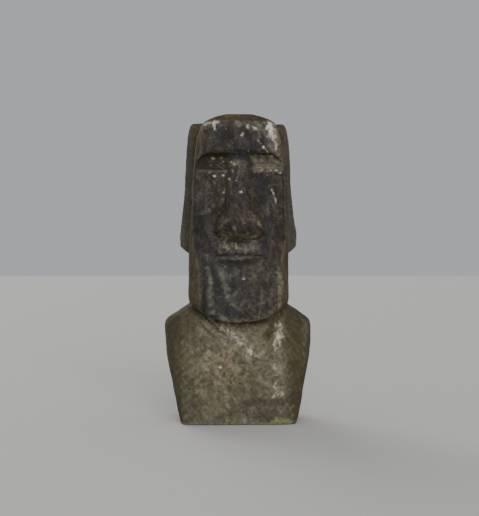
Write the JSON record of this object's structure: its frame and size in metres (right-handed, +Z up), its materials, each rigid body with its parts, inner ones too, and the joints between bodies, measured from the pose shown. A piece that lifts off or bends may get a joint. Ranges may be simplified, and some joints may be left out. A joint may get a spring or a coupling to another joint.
{
  "type": "moai stone head statue",
  "caption": "Monolithic stone figure in the moai style: long head with heavy brow, slab ears and broad nose on a tapering bust, standing on a flat base.",
  "frame": {"origin": "middle of the footprint's bounding box, on the ground plane", "axes": "+Z up, the face looks along -Y, +X to a viewer's right when facing the statue"},
  "size_m": [1.1112, 0.7578, 2.3],
  "materials": {
    "stone": "weathered lapilli tuff, dark patina on the face, pale lichen, faint green at the foot"
  },
  "bodies": {
    "root": {"moai": "stone"}
  },
  "joints": []
}
